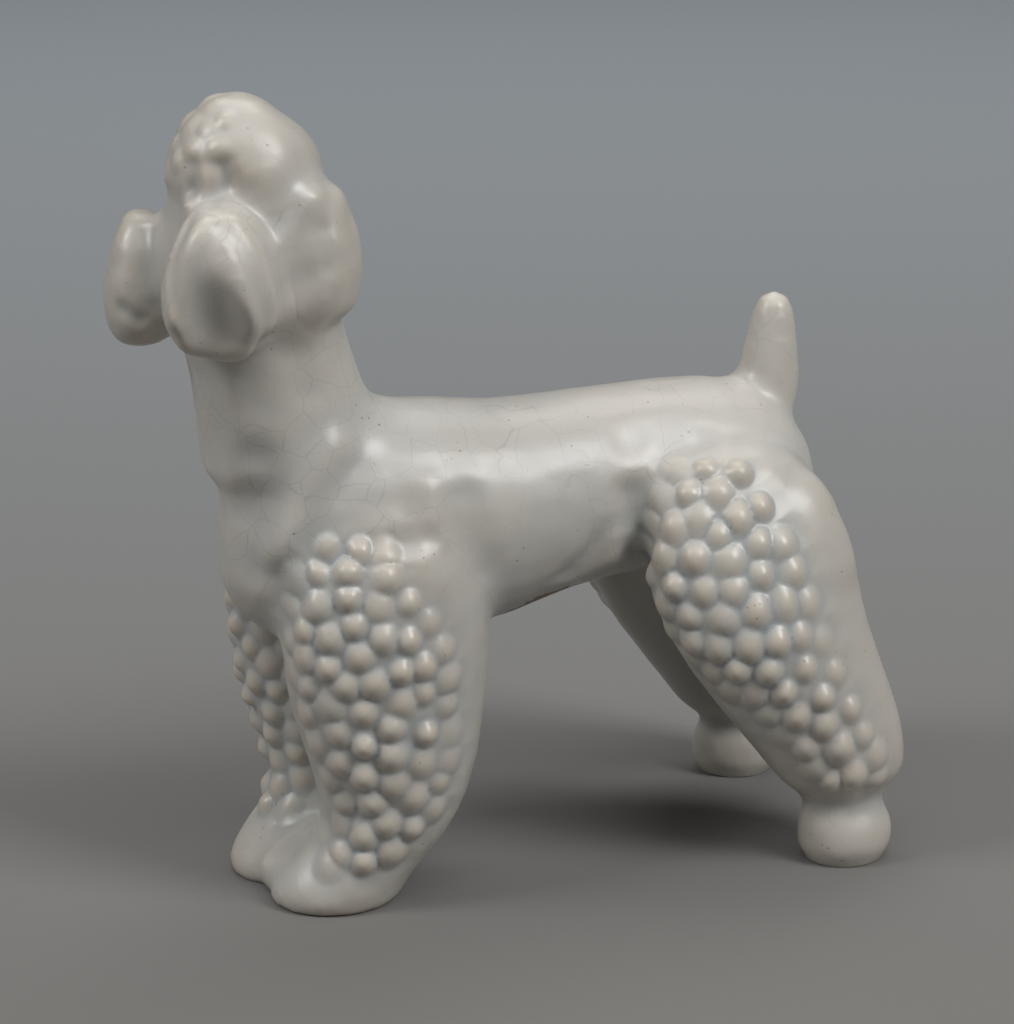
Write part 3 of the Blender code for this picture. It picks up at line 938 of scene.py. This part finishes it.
materials = {name: makeGlaze(name, look) for name, look in glazes.items()}
bareClay = makeBareClay()
bodyPieces = ["torso", "neck", "skull", "muzzle", "tail"]
# what counts as the dog's own skin, and what as cut face, cavity or sole
finish = dict(onSkin=0.45 * mm, agree=0.55, cavity=1.0 * mm, sole=0.25 * mm, soleFacing=-0.8)
# bare clay round the pour hole, with two noises along its edge: grain, share and place in the noise
scar = dict(
    length=25 * mm, width=22.5 * mm, top=66 * mm, search=1.25, ragged=0.16,
    torn=((4 * mm, 1.0, Vector((2, 6, 4))), (1.4 * mm, 0.6, Vector((7, 1, 3)))),
)


def finishPiece(name, part):
    # glaze, relief and the whole dog's normals, so that cut edges don't show
    mesh = part.data
    part.name = name + "Glazed"
    glaze = materials["bodyGlaze" if name in bodyPieces else "curlGlaze"]
    mesh.materials.clear()
    mesh.materials.append(glaze)
    mesh.materials.append(bareClay)
    mesh.shade_smooth()
    count = len(mesh.vertices)
    co = np.empty(count * 3)
    mesh.vertices.foreach_get("co", co)
    co = co.reshape(-1, 3)
    nearest = np.empty(count, int)
    gap = np.empty(count)
    for i in range(count):
        place, index, distance = skinTree.find(co[i])
        nearest[i], gap[i] = index, distance
    mesh.attributes.new("relief", "FLOAT", "POINT").data.foreach_set("value", relief[nearest])
    faceCount = len(mesh.polygons)
    faceNormal = np.empty(faceCount * 3)
    mesh.polygons.foreach_get("normal", faceNormal)
    faceNormal = faceNormal.reshape(-1, 3)
    faceStart = np.empty(faceCount, int)
    faceSize = np.empty(faceCount, int)
    mesh.polygons.foreach_get("loop_start", faceStart)
    mesh.polygons.foreach_get("loop_total", faceSize)
    loopVert = np.empty(len(mesh.loops), int)
    mesh.loops.foreach_get("vertex_index", loopVert)
    faceOf = np.repeat(np.arange(faceCount), faceSize)
    onSkin = gap < finish["onSkin"]
    wanted = skinNormal[nearest[loopVert]]
    agree = (wanted * faceNormal[faceOf]).sum(1) > finish["agree"]
    loopGood = onSkin[loopVert] & agree
    faceGood = np.add.reduceat(loopGood.astype(int), faceStart) == faceSize
    take = faceGood[faceOf]
    final = np.where(take[:, None], wanted, faceNormal[faceOf])
    if name == "torso":
        # cavity and hole stay smooth on their own
        own = np.empty(len(mesh.loops) * 3)
        mesh.corner_normals.foreach_get("vector", own)
        deep = gap[loopVert] > finish["cavity"]
        final = np.where((deep & ~take)[:, None], own.reshape(-1, 3), final)
    mesh.normals_split_custom_set(final)
    index = np.zeros(faceCount, int)
    centre = np.add.reduceat(co[loopVert], faceStart, axis=0) / faceSize[:, None]
    index[~faceGood] = 1
    index[(centre[:, 2] < finish["sole"]) & (faceNormal[:, 2] < finish["soleFacing"])] = 1
    if name == "torso":
        # glaze wiped from a rough patch round the pour hole
        middle = openings["pour_hole"].mean(axis=0)
        across = (centre[:, :2] - middle[:2]) / (np.array((scar["length"], scar["width"])) / 2)
        spread = np.linalg.norm(across, axis=1)
        picked = np.nonzero((centre[:, 2] < scar["top"]) & (spread < scar["search"]))[0]
        torn = np.zeros(len(picked))
        for grain, share, start in scar["torn"]:
            torn += wave(centre[picked], grain, start) * scar["ragged"] * share
        index[picked[spread[picked] + torn < 1.0]] = 1
    mesh.polygons.foreach_set("material_index", index)
    mesh.update()
    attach(part, "root")
    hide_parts(name)


for name, part in pieces.items():
    finishPiece(name, part)
print("pieces glazed:", len(pieces))

studio = dict(
    azimuth=-21.0, elevation=17.0, distance=650 * mm, aim=(0.7 * mm, 0.0, 73 * mm), lens=114.3,
    # near and far are floor colours: painted shade near the camera and round the dog, painted light further
    # off
    sensor=36.0, floorHalf=3.0, paperRoughness=0.7, near=(0.17, 0.16, 0.15, 1.0),
    far=(0.40, 0.44, 0.47, 1.0), paintedFalloff=(-0.25, 1.3), air=(0.55, 0.58, 0.6, 1), ambient=0.06,
)
# lights: degrees round from the camera, elevation, distance, size in metres, watts
lights = {
    "leftSoftBox": (-68, 42, 1.8, (0.6, 0.8), 12.5),
    "rightSoftBox": (58, 42, 1.8, (0.6, 0.8), 17.5),
    "overheadFront": (5, 66, 2.2, (2.0, 1.2), 14),
    "overheadBack": (180, 66, 2.2, (1.6, 1.2), 13),
}


def heading(azimuth, elevation):
    a, e = math.radians(azimuth), math.radians(elevation)
    return Vector((math.sin(a) * math.cos(e), -math.cos(a) * math.cos(e), math.sin(e)))


def lookAt(item, place, aim):
    item.location = place
    item.rotation_euler = (Vector(aim) - Vector(place)).to_track_quat("-Z", "Y").to_euler()


camera = bpy.data.objects.new("camera", bpy.data.cameras.new("camera"))
bpy.context.scene.collection.objects.link(camera)
camera.data.lens = studio["lens"]
camera.data.sensor_width = studio["sensor"]
aim = Vector(studio["aim"])
lookAt(camera, aim + heading(studio["azimuth"], studio["elevation"]) * studio["distance"], aim)
bpy.context.scene.camera = camera

bm = bmesh.new()
bmesh.ops.create_grid(bm, x_segments=1, y_segments=1, size=studio["floorHalf"])
floor = linked("floor", meshOf(bm, "floor"))
bm.free()
paper = bpy.data.materials.new("floorPaper")
paper.use_nodes = True
paperTree = paper.node_tree
paperShader = paperTree.nodes["Principled BSDF"]
paperShader.inputs["Roughness"].default_value = studio["paperRoughness"]
# the floor's colour runs from painted shade near the camera to painted light far off, on an evenly coloured
# paper
floorPlace = paperTree.nodes.new("ShaderNodeTexCoord").outputs["Object"]
along = nodeAt(paperTree, "ShaderNodeVectorMath", operation="DOT_PRODUCT")
along.inputs[1].default_value = -heading(studio["azimuth"], 0)
paperTree.links.new(floorPlace, along.inputs[0])
paintedFalloff = ranged(paperTree, along.outputs["Value"], *studio["paintedFalloff"], 0.0, 1.0)
paintedFloorShade = mixColour(paperTree, paintedFalloff, studio["near"], studio["far"])
paperTree.links.new(paintedFloorShade, paperShader.inputs["Base Color"])
floor.data.materials.append(paper)

for name, (azimuth, elevation, distance, size, power) in lights.items():
    light = bpy.data.objects.new(name, bpy.data.lights.new(name, "AREA"))
    light.data.shape = "RECTANGLE"
    light.data.size, light.data.size_y = size
    light.data.energy = power
    bpy.context.scene.collection.objects.link(light)
    lookAt(light, aim + heading(studio["azimuth"] + azimuth, elevation) * distance, aim)
world = bpy.data.worlds.new("studioAir")
world.use_nodes = True
world.node_tree.nodes["Background"].inputs["Color"].default_value = studio["air"]
world.node_tree.nodes["Background"].inputs["Strength"].default_value = studio["ambient"]
bpy.context.scene.world = world
bpy.context.scene.view_settings.view_transform = "Standard"
print("studio set")
